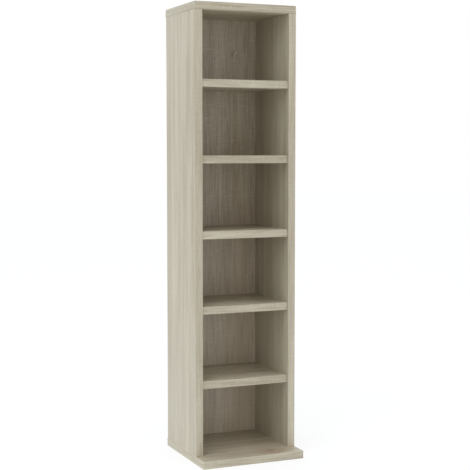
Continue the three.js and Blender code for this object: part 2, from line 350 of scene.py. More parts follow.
    # The start takes off the patterns' means, so that their shares hardly change the tone.
    tone = PRINT_TONE - (streaky + CLOUDY + 1.2 * fine) / 2 + lines / 3 + lift
    for pattern, share in (
        (streaks, streaky),
        (clouds, CLOUDY),
        (late_wood, -lines),
        (fibres, fine),
        (pores, -PORES),
        (rays, RAYS_TO_FINE * fine),
    ):
        tone = add_node(
            tree, "Math", {0: pattern, 1: share, 2: tone}, operation="MULTIPLY_ADD"
        ).outputs[0]
    paper = add_node(
        tree, "Mix", {0: tone, 6: srgb(PRINT_DARK), 7: srgb(PRINT_LIGHT)}, data_type="RGBA"
    ).outputs[2]
    # A faint blush in bands 60 mm wide.
    warmth = add_node(
        tree, "TexNoise", {"Vector": drawn, "Scale": 16, "Detail": 0}
    ).outputs[0]
    blushed = add_node(
        tree,
        "MapRange",
        {
            "Value": warmth,
            "From Min": 0.4,
            "From Max": 0.7,
            "To Min": 0.4 * blush,
            "To Max": blush,
        },
    ).outputs[0]
    if knot:
        # The wood round a knot is redder.
        blushed = add_node(
            tree, "Math", {0: pull, 1: -redness, 2: blushed}, operation="MULTIPLY_ADD"
        ).outputs[0]
    colour = add_node(
        tree, "Mix", {0: blushed, 6: paper, 7: srgb(PRINT_PINK)}, data_type="RGBA"
    ).outputs[2]
    if knot:
        browned = add_node(
            tree, "MapRange", {"Value": dash, "From Min": 0.4, "To Min": 0.7, "To Max": 0}
        ).outputs[0]
        colour = add_node(
            tree, "Mix", {0: browned, 6: colour, 7: srgb(KNOT_BROWN)}, data_type="RGBA"
        ).outputs[2]
    sheen = add_node(tree, "MapRange", {"Value": fibres, "To Min": 0.34, "To Max": 0.46})
    relief = add_node(tree, "Bump", {"Strength": 0.25, "Distance": 0.1 * MM, "Height": tone})
    tree.links.new(colour, shader.inputs["Base Color"])
    tree.links.new(sheen.outputs[0], shader.inputs["Roughness"])
    tree.links.new(relief.outputs[0], shader.inputs["Normal"])
    shader.inputs["IOR"].default_value = MELAMINE_IOR
    return material


# Raw chipboard: flat chips pressed across the board's thickness and sawn through, so the edge
# shows thin slivers, rough and matt.
CHIP_COLOURS = ("#7d6243", "#d0b68f")
# Chips 3 mm long and 0.8 mm thick.
CHIPS_SCALE = 300


def raw_chipboard(name, stretch):
    material, tree, shader = new_material(name)
    place = add_node(tree, "TexCoord").outputs["Object"]
    pressed = add_node(tree, "Mapping", {"Vector": place, "Scale": stretch}).outputs[0]
    chips = add_node(tree, "TexVoronoi", {"Vector": pressed, "Scale": CHIPS_SCALE}, feature="F1")
    shade = add_node(tree, "SeparateColor", {0: chips.outputs["Color"]}).outputs[0]
    gaps = add_node(
        tree, "TexVoronoi", {"Vector": pressed, "Scale": CHIPS_SCALE}, feature="DISTANCE_TO_EDGE"
    ).outputs[0]
    glued = add_node(
        tree, "MapRange", {"Value": gaps, "From Max": 0.12, "To Min": 0.45, "To Max": 1}
    ).outputs[0]
    dust = add_node(tree, "TexNoise", {"Vector": place, "Scale": 900, "Detail": 3}).outputs[0]
    mixed = add_node(
        tree, "Math", {0: dust, 1: 0.5, 2: shade}, operation="MULTIPLY_ADD"
    ).outputs[0]
    shaded = add_node(tree, "Math", {0: mixed, 1: 0.25}, operation="SUBTRACT").outputs[0]
    chip = add_node(
        tree,
        "Mix",
        {0: shaded, 6: srgb(CHIP_COLOURS[0]), 7: srgb(CHIP_COLOURS[1])},
        data_type="RGBA",
    ).outputs[2]
    colour = add_node(
        tree, "Mix", {0: 1, 6: chip, 7: glued}, data_type="RGBA", blend_type="MULTIPLY"
    ).outputs[2]
    relief = add_node(
        tree, "Bump", {"Strength": 0.6, "Distance": 0.3 * MM, "Height": glued}
    ).outputs[0]
    tree.links.new(colour, shader.inputs["Base Color"])
    tree.links.new(relief, shader.inputs["Normal"])
    shader.inputs["Roughness"].default_value = 0.9
    return material


# Each side, and each strip of edging, is cut from its own place on the printed roll.
SIDE_CUTS = {"left": (-3.73, 3.35, 3.9), "right": (3.44, 1.26, 2.58)}
BAND_CUTS = {"left": (-0.33, -0.02, -2.58), "right": (-3.01, 3.67, 2.52)}
side_chips = raw_chipboard("raw_chipboard_upright_board", (4, 1, 1))

left_low, left_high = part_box("left_side_panel")
front, back = left_low.y, left_high.y
bolt_row, dowel_row = front + BOLT_SETBACK, back - DOWEL_INSET
screw_rows = (("front", front + SCREW_INSET), ("back", back - SCREW_INSET))
nail_span = left_high.z - left_low.z - 2 * NAIL_INSET
nail_heights = [
    left_low.z + NAIL_INSET + step * nail_span / (NAIL_COUNT - 1) for step in range(NAIL_COUNT)
]
shelf_middles = [sum(corner.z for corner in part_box(name)) / 2 for name in SHELF_NAMES]

for word, sign in ENDS:
    # The sides have no blush, as painted light: it keeps their lit outer faces as cool as the
    # light from the left makes them.
    side_print = oak_print(
        f"oak_print_melamine_{word}_side",
        GRAIN_UPRIGHT,
        SIDE_CUTS[word],
        streaky=1.15,
        lines=0.06,
        fine=0.16,
        blush=0,
    )
    side_band_print = oak_print(
        f"oak_print_edging_{word}_side",
        GRAIN_UPRIGHT,
        BAND_CUTS[word],
        lines=0.1,
        fine=0.18,
        lift=-0.06,
    )
    node = f"{word}_side_panel"
    low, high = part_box(node)
    inner = low.x if sign > 0 else high.x
    middle = (low.x + high.x) / 2
    core_low = Vector((low.x, low.y + BAND_THICKNESS, low.z))
    side = add_block(f"{word}_side_board", core_low, high)
    mouth, floor = inner - sign * CUT_OVERRUN, inner + sign * DRILLED_DEPTH
    for z in shelf_middles:
        for y, diameter in ((bolt_row, THREAD_DIAMETER), (dowel_row, DOWEL_DIAMETER)):
            drill(
                side,
                Vector((mouth, y, z)),
                Vector((floor, y, z)),
                diameter + 2 * HOLE_CLEARANCE,
            )
    for _, y in screw_rows:
        for end, inward in ((high.z, -1), (low.z, 1)):
            drill(
                side,
                Vector((middle, y, end - inward * CUT_OVERRUN)),
                Vector((middle, y, end + inward * PILOT_DEPTH)),
                PILOT_DIAMETER + 2 * HOLE_CLEARANCE,
            )
    for z in nail_heights:
        drill(
            side,
            Vector((middle, back + CUT_OVERRUN, z)),
            Vector((middle, back - NAIL_HOLE_DEPTH, z)),
            NAIL_DIAMETER + 2 * HOLE_CLEARANCE,
            steps=NAIL_HOLE_STEPS,
        )
    ease_arrises(side, SAWN_ARRIS)
    face_board(side, 0, low, high, side_print, side_chips)
    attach(side, "root")
    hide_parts(node)

    band_high = Vector((high.x, low.y + BAND_THICKNESS, high.z))
    band = glue_band(f"{word}_side_front_edging", low, band_high, 1, -1, side_band_print)
    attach(band, "root")
    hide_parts(node)


# The cam bolts
# Plated steel pins turned on a lathe: a coarse thread that screws into the side, a collar that
# stops against it, a shank, and a neck and head that the cam in the shelf grips.
BOLT_REACH = 34 * MM
BOLT_STEPS = 32
THREAD_STEPS = 24
# Radii and heights, in mm.
BOLT_OUTLINE = (
    (1.5, -10.7),
    (2.1, -9.4),
    (2.1, 0.1),
    (3.5, 0.1),
    (3.7, 0.3),
    (3.7, 1.4),
    (3.5, 1.6),
    (3.2, 1.6),
    (3.2, 26.1),
    (2.7, 26.6),
    (2.2, 26.6),
    (2.2, 31.6),
    (2.6, 31.6),
    (3.5, 32.6),
    (3.5, 35.5),
    (3.2, 36.2),
    (2.5, 36.6),
)


def turn_piece(name, outline, steps):
    """A piece turned about the z axis: a disc drawn out and resized along its outline, in mm."""
    bpy.ops.object.select_all(action="DESELECT")
    radius, height = outline[0]
    bpy.ops.mesh.primitive_circle_add(
        vertices=steps, radius=radius * MM, fill_type="NGON", location=(0, 0, height * MM)
    )
    piece = bpy.context.object
    piece.name = name
    bpy.ops.object.transform_apply(location=True, rotation=True, scale=True)
    bpy.ops.object.mode_set(mode="EDIT")
    bpy.ops.mesh.select_all(action="SELECT")
    for next_radius, next_height in outline[1:]:
        bpy.ops.mesh.extrude_region_move(
            TRANSFORM_OT_translate={"value": (0, 0, (next_height - height) * MM)}
        )
        grow = next_radius / radius
        bpy.ops.transform.resize(
            value=(grow, grow, 1), center_override=(0, 0, next_height * MM)
        )
        radius, height = next_radius, next_height
    bpy.ops.mesh.select_all(action="SELECT")
    bpy.ops.mesh.normals_make_consistent(inside=False)
    leave(piece)
    return piece


def wind_thread(piece, root, crest, pitch, low, turns):
    """Winds a thread's ridge up the piece from a height, all in mm, and joins it on."""
    bpy.ops.object.select_all(action="DESELECT")
    # The ridge's triangle is one and a half times its radius high.
    reach = (crest - root) / 1.5
    bpy.ops.mesh.primitive_circle_add(
        vertices=3,
        radius=reach * MM,
        fill_type="NOTHING",
        location=((crest - reach) * MM, 0, low * MM),
        rotation=(math.radians(90), math.radians(90), 0),
    )
    ridge = bpy.context.object
    bpy.ops.object.transform_apply(location=True, rotation=True, scale=True)
    finish_modifier(
        ridge,
        "SCREW",
        axis="Z",
        screw_offset=pitch * MM,
        iterations=turns,
        steps=THREAD_STEPS,
        render_steps=THREAD_STEPS,
    )
    use(ridge)
    bpy.ops.object.mode_set(mode="EDIT")
    bpy.ops.mesh.select_all(action="SELECT")
    bpy.ops.mesh.fill_holes(sides=0)
    bpy.ops.mesh.normals_make_consistent(inside=False)
    bpy.ops.object.mode_set(mode="OBJECT")
    cut_out(piece, ridge, "UNION")
    leave(piece)


def place_copy(piece, name, place, turn=(0, 0, 0)):
    """A copy of the piece with its own mesh, turned and moved, with its place in its mesh."""
    use(piece)
    bpy.ops.object.duplicate(linked=False)
    copy = bpy.context.object
    copy.name = name
    copy.rotation_euler = turn
    copy.location = place
    bpy.ops.object.transform_apply(location=True, rotation=True, scale=True)
    return copy


# Zinc-plated steel: bright and cool, with the fine rings that turning left and a faint
# unevenness of the plating.
PLATED_STEEL = ("#b3b6ba", "#c4c6c8")


def plated_steel(name, ring_scale):
    material, tree, shader = new_material(name)
    place = add_node(tree, "TexCoord").outputs["Object"]
    # The plating is uneven in patches 2 mm wide.
    cloud = add_node(tree, "TexNoise", {"Vector": place, "Scale": 420, "Detail": 3}).outputs[0]
    # Real turning marks are 0.05 mm apart; these are 0.3 mm, so that they show.
    drawn = add_node(tree, "Mapping", {"Vector": place, "Scale": ring_scale}).outputs[0]
    marks = add_node(tree, "TexNoise", {"Vector": drawn, "Scale": 3000, "Detail": 1}).outputs[0]
    tint = add_node(
        tree,
        "Mix",
        {0: cloud, 6: srgb(PLATED_STEEL[0]), 7: srgb(PLATED_STEEL[1])},
        data_type="RGBA",
    ).outputs[2]
    gloss = add_node(
        tree, "MapRange", {"Value": cloud, "To Min": 0.24, "To Max": 0.42}
    ).outputs[0]
    relief = add_node(
        tree, "Bump", {"Strength": 0.2, "Distance": 0.05 * MM, "Height": marks}
    ).outputs[0]
    tree.links.new(tint, shader.inputs["Base Color"])
    tree.links.new(gloss, shader.inputs["Roughness"])
    tree.links.new(relief, shader.inputs["Normal"])
    shader.inputs["Metallic"].default_value = 1
    return material


bolt_steel = plated_steel("zinc_plated_steel_turned_across", (1, 0.1, 0.1))
bolt = turn_piece("cam_bolt", BOLT_OUTLINE, BOLT_STEPS)
wind_thread(bolt, root=1.9, crest=2.7, pitch=1.8, low=-9.4, turns=5)
bolt.data.materials.append(bolt_steel)
for name in SHELF_NAMES:
    low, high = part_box(name)
    for word, sign in ENDS:
        node = f"{name}_cam_bolt_{word}"
        side_low, side_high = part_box(f"{word}_side_panel")
        inner = side_low.x if sign > 0 else side_high.x
        place = (inner, bolt_row, (low.z + high.z) / 2)
        pin = place_copy(bolt, f"{node}_pin", place, (0, math.radians(-90 * sign), 0))
        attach(pin, "root")
        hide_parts(node)
bpy.data.objects.remove(bolt)


# The shelves
# Five boards like the sides, with the grain along the width. Each end is bored for a bolt and a
# dowel, and the underside for the two cam housings. The front edge has a printed strip.
CAM_DIAMETER = 14.4 * MM
CAM_HOUSING_DEPTH = 12 * MM
COLLAR_DIAMETER = 7.4 * MM
DOWEL_BORE_DEPTH = 19.6 * MM

# One shelf after another is cut from the printed roll, and so are their strips.
ROLL_START = Vector((0.6, 2.4, -3.9))
ROLL_STEP = Vector((0.39, 0.92, -0.28))
STRIP_START = Vector((2.6, -1, -2.3))
STRIP_STEP = Vector((0.64, -0.86, -0.52))
# How much paler or darker each strip is, from the lowest shelf up.
STRIP_TONES = (-0.16, -0.06, 0, -0.35, -0.1)

flat_chips = raw_chipboard("raw_chipboard_level_board", (1, 1, 4))

for number, name in enumerate(SHELF_NAMES):
    shelf_print = oak_print(
        f"oak_print_melamine_{name}",
        GRAIN_ALONG_X,
        ROLL_START + number * ROLL_STEP,
        streaky=3,
        lines=0.5,
        fine=0.4,
        lift=-0.1,
        blush=0.2,
    )
    shelf_band_print = oak_print(
        f"oak_print_edging_{name}",
        GRAIN_ALONG_X,
        STRIP_START + number * STRIP_STEP,
        lift=STRIP_TONES[number],
    )
    low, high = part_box(name)
    shelf = add_block(f"{name}_board", low + Vector((0, BAND_THICKNESS, 0)), high)
    middle = (low.z + high.z) / 2
    for word, sign in ENDS:
        end = high.x if sign > 0 else low.x
        cam_axis = end - sign * BOLT_REACH
        outside = end + sign * CUT_OVERRUN
        drill(
            shelf,
            Vector((cam_axis, bolt_row, low.z - CUT_OVERRUN)),
            Vector((cam_axis, bolt_row, low.z + CAM_HOUSING_DEPTH)),
            CAM_DIAMETER + 2 * HOLE_CLEARANCE,
        )
        drill(
            shelf,
            Vector((outside, bolt_row, middle)),
            Vector((cam_axis, bolt_row, middle)),
            COLLAR_DIAMETER + 2 * HOLE_CLEARANCE,
        )
        drill(
            shelf,
            Vector((outside, dowel_row, middle)),
            Vector((end - sign * DOWEL_BORE_DEPTH, dowel_row, middle)),
            DOWEL_DIAMETER + 2 * HOLE_CLEARANCE,
        )
    ease_arrises(shelf, SAWN_ARRIS)
    face_board(shelf, 2, low, high, shelf_print, flat_chips)
    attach(shelf, "root")
    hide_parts(name)

    band_high = Vector((high.x, low.y + BAND_THICKNESS, high.z))
    band = glue_band(f"{name}_front_edging", low, band_high, 1, -1, shelf_band_print)
    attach(band, "root")
    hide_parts(name)


# The dowels
# Beech pegs, one in each shelf end behind the bolt. Their flutes are pressed in, so that glue
# and air can pass, and both ends are chamfered.
# Lengths are in mm here.
DOWEL_LENGTH = 30
DOWEL_RADIUS = 4
DOWEL_STEPS = 54
FLUTE_DEPTH = 0.25
DOWEL_CHAMFER = 1
STEPS_TO_A_FLUTE = 3

dowel = turn_piece(
    "dowel",
    (
        (DOWEL_RADIUS - DOWEL_CHAMFER, -DOWEL_LENGTH / 2),
        (DOWEL_RADIUS, DOWEL_CHAMFER - DOWEL_LENGTH / 2),
        (DOWEL_RADIUS, DOWEL_LENGTH / 2 - DOWEL_CHAMFER),
        (DOWEL_RADIUS - DOWEL_CHAMFER, DOWEL_LENGTH / 2),
    ),
    DOWEL_STEPS,
)
step_turn = 2 * math.pi / DOWEL_STEPS
pick(
    dowel,
    "vertices",
    lambda point: round(math.atan2(point.co.y, point.co.x) / step_turn) % STEPS_TO_A_FLUTE == 0
    and point.co.xy.length > (DOWEL_RADIUS - DOWEL_CHAMFER / 2) * MM,
)
sunk = 1 - FLUTE_DEPTH / DOWEL_RADIUS
bpy.ops.transform.resize(value=(sunk, sunk, 1), center_override=(0, 0, 0))
leave(dowel)

# Beech, turned: pale and warm, with short dark flecks along the grain. The fibres are 1 mm
# wide and 9 mm long, and the flecks 0.4 mm wide and 3 mm long.
BEECH_COLOURS = ("#c39c6c", "#e0c199")
BEECH_FLECKS = "#9b7245"
beech, tree, shader = new_material("beech_turned")
place = add_node(tree, "TexCoord").outputs["Object"]
drawn = add_node(tree, "Mapping", {"Vector": place, "Scale": (0.12, 1, 1)}).outputs[0]
fibres = add_node(tree, "TexNoise", {"Vector": drawn, "Scale": 900, "Detail": 4}).outputs[0]
fleck_noise = add_node(tree, "TexNoise", {"Vector": drawn, "Scale": 2600, "Detail": 1}).outputs[0]
flecks = add_node(
    tree, "MapRange", {"Value": fleck_noise, "From Min": 0.6, "From Max": 0.7, "To Max": 0.6}
).outputs[0]
wood = add_node(
    tree,
    "Mix",
    {0: fibres, 6: srgb(BEECH_COLOURS[0]), 7: srgb(BEECH_COLOURS[1])},
    data_type="RGBA",
).outputs[2]
colour = add_node(
    tree, "Mix", {0: flecks, 6: wood, 7: srgb(BEECH_FLECKS)}, data_type="RGBA"
).outputs[2]
relief = add_node(tree, "Bump", {"Strength": 0.3, "Distance": 0.1 * MM, "Height": fibres})
tree.links.new(colour, shader.inputs["Base Color"])
tree.links.new(relief.outputs[0], shader.inputs["Normal"])
shader.inputs["Roughness"].default_value = 0.75
dowel.data.materials.append(beech)

for name in SHELF_NAMES:
    low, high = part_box(name)
    for word, sign in ENDS:
        node = f"{name}_dowel_{word}"
        peg_low, peg_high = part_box(node)
        place = (peg_low + peg_high) / 2
        peg = place_copy(dowel, f"{node}_peg", place, (0, math.radians(90), 0))
        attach(peg, "root")
        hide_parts(node)
bpy.data.objects.remove(dowel)


# The cam locks
# Die-cast zinc drums in the shelves' undersides. A driver in the cross turns them, and the
# curved slot in their wall draws the bolt's head in.
# Lengths are in mm here, and so are the outline's radii and heights.
CAM_OUTLINE = ((6.7, 0), (7.1, 0.15), (7.2, 0.5), (7.2, 11.3), (6.9, 11.7))
CAM_STEPS = 48
CAM_HOLLOW = 4.8
CAM_HOLLOW_FLOOR = 3.4
CAM_TOP = 11.7
BOLT_HEIGHT = 7.5
SLOT_HALF = 2.5
MOUTH_HALF = 3.8
SLOT_REACH = 9
SLOT_STEPS = 60
SLOT_START = math.radians(-30)
SLOT_END = math.radians(126)
CROSS_LENGTH = 8
CROSS_WIDTH = 1.6
CROSS_DEPTH = 2.4
CROSS_TAPER = 0.75
ARROW_REACH = (4.6, 6.2)
ARROW_HALF = 0.8
ARROW_DEPTH = 0.3
ARROW_TAPER = 0.1
TOOL_OVERRUN = 1


def mm(x, y, z):
    """A point written in millimetres."""
    return Vector((x, y, z)) * MM


cam = turn_piece("cam_lock", CAM_OUTLINE, CAM_STEPS)
drill(cam, mm(0, 0, CAM_HOLLOW_FLOOR), mm(0, 0, CAM_TOP + TOOL_OVERRUN), 2 * CAM_HOLLOW * MM)

bpy.ops.object.select_all(action="DESELECT")
bpy.ops.mesh.primitive_circle_add(
    vertices=SLOT_STEPS,
    radius=SLOT_REACH * MM,
    fill_type="TRIFAN",
    location=mm(0, 0, BOLT_HEIGHT - SLOT_HALF),
)
slot = bpy.context.object
bpy.ops.object.transform_apply(location=True, rotation=True, scale=True)
pick(
    slot,
    "polygons",
    lambda face: not SLOT_START < math.atan2(face.center.y, face.center.x) < SLOT_END,
)
bpy.ops.mesh.delete(type="FACE")
bpy.ops.mesh.select_all(action="SELECT")
bpy.ops.mesh.extrude_region_move(
    TRANSFORM_OT_translate={"value": mm(0, 0, 2 * SLOT_HALF)}
)
bpy.ops.mesh.select_all(action="SELECT")
bpy.ops.mesh.normals_make_consistent(inside=False)
bpy.ops.object.mode_set(mode="OBJECT")
cut_out(cam, slot)
mouth = mm(math.cos(SLOT_END) * SLOT_REACH, math.sin(SLOT_END) * SLOT_REACH, BOLT_HEIGHT)
drill(cam, mm(0, 0, BOLT_HEIGHT), mouth, 2 * MOUTH_HALF * MM)

for half_x, half_y in ((CROSS_LENGTH / 2, CROSS_WIDTH / 2), (CROSS_WIDTH / 2, CROSS_LENGTH / 2)):
    blade = add_block(
        "blade", mm(-half_x, -half_y, -TOOL_OVERRUN), mm(half_x, half_y, CROSS_DEPTH)
    )
    tip = CROSS_DEPTH * MM - TOUCHING
    pick(blade, "vertices", lambda point: point.co.z > tip)
    bpy.ops.transform.resize(
        value=(CROSS_TAPER, CROSS_TAPER, 1), center_override=(0, 0, 0)
    )
    bpy.ops.object.mode_set(mode="OBJECT")
    cut_out(cam, blade)
arrow = add_block(
    "arrow",
    mm(ARROW_REACH[0], -ARROW_HALF, -TOOL_OVERRUN),
    mm(ARROW_REACH[1], ARROW_HALF, ARROW_DEPTH),
)
pick(arrow, "vertices", lambda point: point.co.x > ARROW_REACH[1] * MM - TOUCHING)
bpy.ops.transform.resize(value=(1, ARROW_TAPER, 1), center_override=(0, 0, 0))
bpy.ops.object.mode_set(mode="OBJECT")
cut_out(cam, arrow)
leave(cam)

# Die-cast zinc: dull grey with a grain of 0.4 mm from the die and slightly brighter flow
# marks 4 mm wide.
ZINC_COLOURS = ("#96999c", "#bbbec0")
zinc, tree, shader = new_material("zinc_die_cast")
place = add_node(tree, "TexCoord").outputs["Object"]
flow = add_node(
    tree, "TexNoise", {"Vector": place, "Scale": 260, "Detail": 3, "Distortion": 0.8}
).outputs[0]
grain = add_node(tree, "TexNoise", {"Vector": place, "Scale": 2600, "Detail": 2}).outputs[0]
colour = add_node(
    tree,
    "Mix",
    {0: flow, 6: srgb(ZINC_COLOURS[0]), 7: srgb(ZINC_COLOURS[1])},
    data_type="RGBA",
).outputs[2]
gloss = add_node(tree, "MapRange", {"Value": flow, "To Min": 0.38, "To Max": 0.58}).outputs[0]
relief = add_node(tree, "Bump", {"Strength": 0.3, "Distance": 0.05 * MM, "Height": grain})
tree.links.new(colour, shader.inputs["Base Color"])
tree.links.new(gloss, shader.inputs["Roughness"])
tree.links.new(relief.outputs[0], shader.inputs["Normal"])
shader.inputs["Metallic"].default_value = 1
cam.data.materials.append(zinc)

for name in SHELF_NAMES:
    low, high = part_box(name)
    for word, sign in ENDS:
        node = f"{name}_cam_lock_{word}"
        end = high.x if sign > 0 else low.x
        place = (end - sign * BOLT_REACH, bolt_row, low.z)
        turned = 0 if sign > 0 else math.pi
        drum = place_copy(cam, f"{node}_drum", place, (0, 0, turned))
        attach(drum, "root")
        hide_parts(node)
bpy.data.objects.remove(cam)


# The base and the top
# Two more boards like the shelves, which lie under and over the ends of the sides. Front and
# ends have printed strips, and four countersunk holes take the screws.
SCREW_SINK = 0.6 * MM
HEAD_RIM = 0.6 * MM
HEAD_DIAMETER = 10 * MM
SHANK_DIAMETER = 7 * MM

# The two boards and their strips have their own places on the printed roll too.
BASE_CUT = (-3.1, -0.5, -3.5)
BASE_KNOT = ((47 * MM, -72 * MM, 15 * MM), 45 * MM, 0.6)
TOP_CUT = (0.32, 0.35, 1.9)
FRONT_STRIP_CUT = (3.1, 0.2, 2.6)
END_STRIP_CUT = (0.7, 2.4, 1.5)

base_print = oak_print(
    "oak_print_melamine_base",
    GRAIN_ALONG_X,
    BASE_CUT,
    streaky=2,
    lines=0.25,
    lift=0.04,
    blush=0.3,
    knot=BASE_KNOT,
)
top_print = oak_print(
    "oak_print_melamine_top",
    GRAIN_ALONG_X,
    TOP_CUT,
    streaky=1.9,
    lines=0.3,
    blush=0.3,
)

# The last number lifts the end strips' print as painted light: the base's ends are paler to make
# up for the shade near the floor, and the top's ends a touch darker under the light from above.
for node, outward, board_print, front_tone, end_painted_light in (
    ("base_panel", -1, base_print, 0.03, 0.18),
    ("top_panel", 1, top_print, -0.07, -0.05),
):
    low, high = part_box(node)
    word = node.split("_")[0]
    front_print = oak_print(
        f"oak_print_edging_{word}_front", GRAIN_ALONG_X, FRONT_STRIP_CUT, lift=front_tone
    )
    end_print = oak_print(
        f"oak_print_edging_{word}_ends", GRAIN_ALONG_Y, END_STRIP_CUT, lift=end_painted_light, blush=0
    )
    inset = Vector((BAND_THICKNESS, BAND_THICKNESS, 0))
    core_high = high - Vector((BAND_THICKNESS, 0, 0))
    core = add_block(f"{word}_board", low + inset, core_high)
    face = high.z if outward > 0 else low.z
    inside = low.z if outward > 0 else high.z
    for _, sign in ENDS:
        side_low, side_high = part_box("right_side_panel" if sign > 0 else "left_side_panel")
        x = (side_low.x + side_high.x) / 2
        for _, y in screw_rows:
            rim = face - outward * (SCREW_SINK + HEAD_RIM + HOLE_CLEARANCE)
            cone = rim - outward * (HEAD_DIAMETER - SHANK_DIAMETER) / 2
            head_bore = HEAD_DIAMETER + 2 * HOLE_CLEARANCE
            shank_bore = SHANK_DIAMETER + 2 * HOLE_CLEARANCE
            above = face + outward * CUT_OVERRUN
            below = inside - outward * CUT_OVERRUN
            drill(core, Vector((x, y, below)), Vector((x, y, above)), shank_bore)
            drill(core, Vector((x, y, cone)), Vector((x, y, rim)), shank_bore, head_bore)
            drill(core, Vector((x, y, rim)), Vector((x, y, above)), head_bore)
    ease_arrises(core, SAWN_ARRIS)
    face_board(core, 2, low, high, board_print, flat_chips)
    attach(core, "root")
    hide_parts(node)

    band_high = Vector((high.x, low.y + BAND_THICKNESS, high.z))
    strips = [glue_band(f"{word}_front_edging", low, band_high, 1, -1, front_print)]
    for end, sign in ENDS:
        near = low.x if sign < 0 else high.x - BAND_THICKNESS
        strips.append(
            glue_band(
                f"{word}_{end}_edging",
                Vector((near, low.y + BAND_THICKNESS, low.z)),
                Vector((near + BAND_THICKNESS, high.y, high.z)),
                0,
                sign,
                end_print,
            )
        )
    for strip in strips:
        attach(strip, "root")
        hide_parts(node)


# The screws of the base and the top
# Plated steel wood screws with a sunk head, a hexagon socket and a coarse thread, which run
# into the ends of the sides.
# Lengths are in mm here, and so are the outline's radii and heights.
SCREW_STEPS = 32
SOCKET_WIDTH = 4
SOCKET_DEPTH = 3
SOCKET_TIP_INSET = 0.9
SOCKET_TIP_DEPTH = 0.7
SCREW_OUTLINE = (
    (1.2, -50),
    (2.2, -48),
    (2.3, -14.6),
    (3.2, -14.6),
    (3.5, -14.2),
    (3.5, -2.1),
    (4.9, -0.7),
    (5, -0.5),
    (5, -0.2),
    (4.8, 0),
)

# The screws stand upright, so their turning rings lie level.
screw_steel = plated_steel("zinc_plated_steel_turned_upright", (0.1, 0.1, 1))
screw = turn_piece("screw", SCREW_OUTLINE, SCREW_STEPS)
wind_thread(screw, root=2.1, crest=3.1, pitch=3, low=-47.5, turns=10)
bpy.ops.object.select_all(action="DESELECT")
bpy.ops.mesh.primitive_cylinder_add(
    vertices=6,
    radius=SOCKET_WIDTH / 2 / math.cos(math.pi / 6) * MM,
    depth=2 * SOCKET_DEPTH * MM,
)
socket = bpy.context.object
pick(socket, "polygons", lambda face: face.normal.z < -FACING)
bpy.ops.mesh.inset(thickness=SOCKET_TIP_INSET * MM)
bpy.ops.transform.translate(value=(0, 0, -SOCKET_TIP_DEPTH * MM))
bpy.ops.object.mode_set(mode="OBJECT")
cut_out(screw, socket)
leave(screw)
screw.data.materials.append(screw_steel)

for word, sign in ENDS:
    side_low, side_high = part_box(f"{word}_side_panel")
    x = (side_low.x + side_high.x) / 2
    for row, y in screw_rows:
        for end, outward in (("base", -1), ("top", 1)):
            node = f"{end}_screw_{row}_{word}"
            screw_low, screw_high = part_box(node)
            z = screw_high.z if outward > 0 else screw_low.z
            turned = 0 if outward > 0 else math.pi
            piece = place_copy(screw, f"{node}_turned", (x, y, z), (turned, 0, 0))
            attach(piece, "root")
            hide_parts(node)
bpy.data.objects.remove(screw)


# The caps of the top screws
# Thin discs punched from printed paper foil. They lie flush with the top board, on the sunk
# heads of its four screws.
CAP_STEPS = 48
CAP_CUT = (1.2, 2.2, 0.3)
# Radii and heights, in mm.
CAP_OUTLINE = ((4.95, -0.2), (5, -0.15), (5, 0.05), (4.9, 0.17), (4.7, 0.2))

cap_print = oak_print("oak_print_paper_foil", GRAIN_ALONG_X, CAP_CUT, lift=-0.1)
cap = turn_piece("screw_cap", CAP_OUTLINE, CAP_STEPS)
cap.data.materials.append(cap_print)
for word, _ in ENDS:
    for row, _ in screw_rows:
        node = f"top_screw_cap_{row}_{word}"
        cap_low, cap_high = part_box(node)
        disc = place_copy(cap, f"{node}_disc", (cap_low + cap_high) / 2)
        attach(disc, "root")
        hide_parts(node)
bpy.data.objects.remove(cap)


# The back
# A 3 mm board of pressed wood fibre. Its front has the oak print with the grain upright, its
# rear is bare brown fibre, and it is nailed to the back edges of the sides.
NAIL_HEAD_DIAMETER = 3.6 * MM
NAIL_HEAD_STEPS = 32
NAIL_POCKET = 1 * MM
BACK_CUT = (2.14, 1.56, -3.23)
BACK_KNOT = ((40 * MM, 97 * MM, 799 * MM), 18 * MM, 0)
BARE_FIBRE = ("#6f5238", "#977453")

# The back's strong blush is partly the print's pink and partly painted shade: the warm tone of
# light thrown between the boards inside the shelves.
back_print = oak_print(
    "oak_print_fibreboard_upright",
    GRAIN_UPRIGHT,
    BACK_CUT,
    lines=0.3,
    fine=0.4,
    lift=-0.1,
    blush=0.6,
    knot=BACK_KNOT,
)

# Bare fibreboard: pressed hot and smooth, mottled in patches of 7 mm by its fibres, which are
# 0.6 mm wide.
bare_fibre, tree, shader = new_material("fibreboard_bare")
place = add_node(tree, "TexCoord").outputs["Object"]
mottle = add_node(tree, "TexNoise", {"Vector": place, "Scale": 140, "Detail": 5}).outputs[0]
fibres = add_node(
    tree, "TexNoise", {"Vector": place, "Scale": 1600, "Detail": 2, "Distortion": 2}
).outputs[0]
mixed = add_node(
    tree, "Math", {0: fibres, 1: 0.8, 2: mottle}, operation="MULTIPLY_ADD"
).outputs[0]
shaded = add_node(tree, "Math", {0: mixed, 1: 0.4}, operation="SUBTRACT").outputs[0]
colour = add_node(
    tree,
    "Mix",
    {0: shaded, 6: srgb(BARE_FIBRE[0]), 7: srgb(BARE_FIBRE[1])},
    data_type="RGBA",
).outputs[2]
relief = add_node(tree, "Bump", {"Strength": 0.3, "Distance": 0.1 * MM, "Height": fibres})
tree.links.new(colour, shader.inputs["Base Color"])
tree.links.new(relief.outputs[0], shader.inputs["Normal"])
shader.inputs["Roughness"].default_value = 0.7

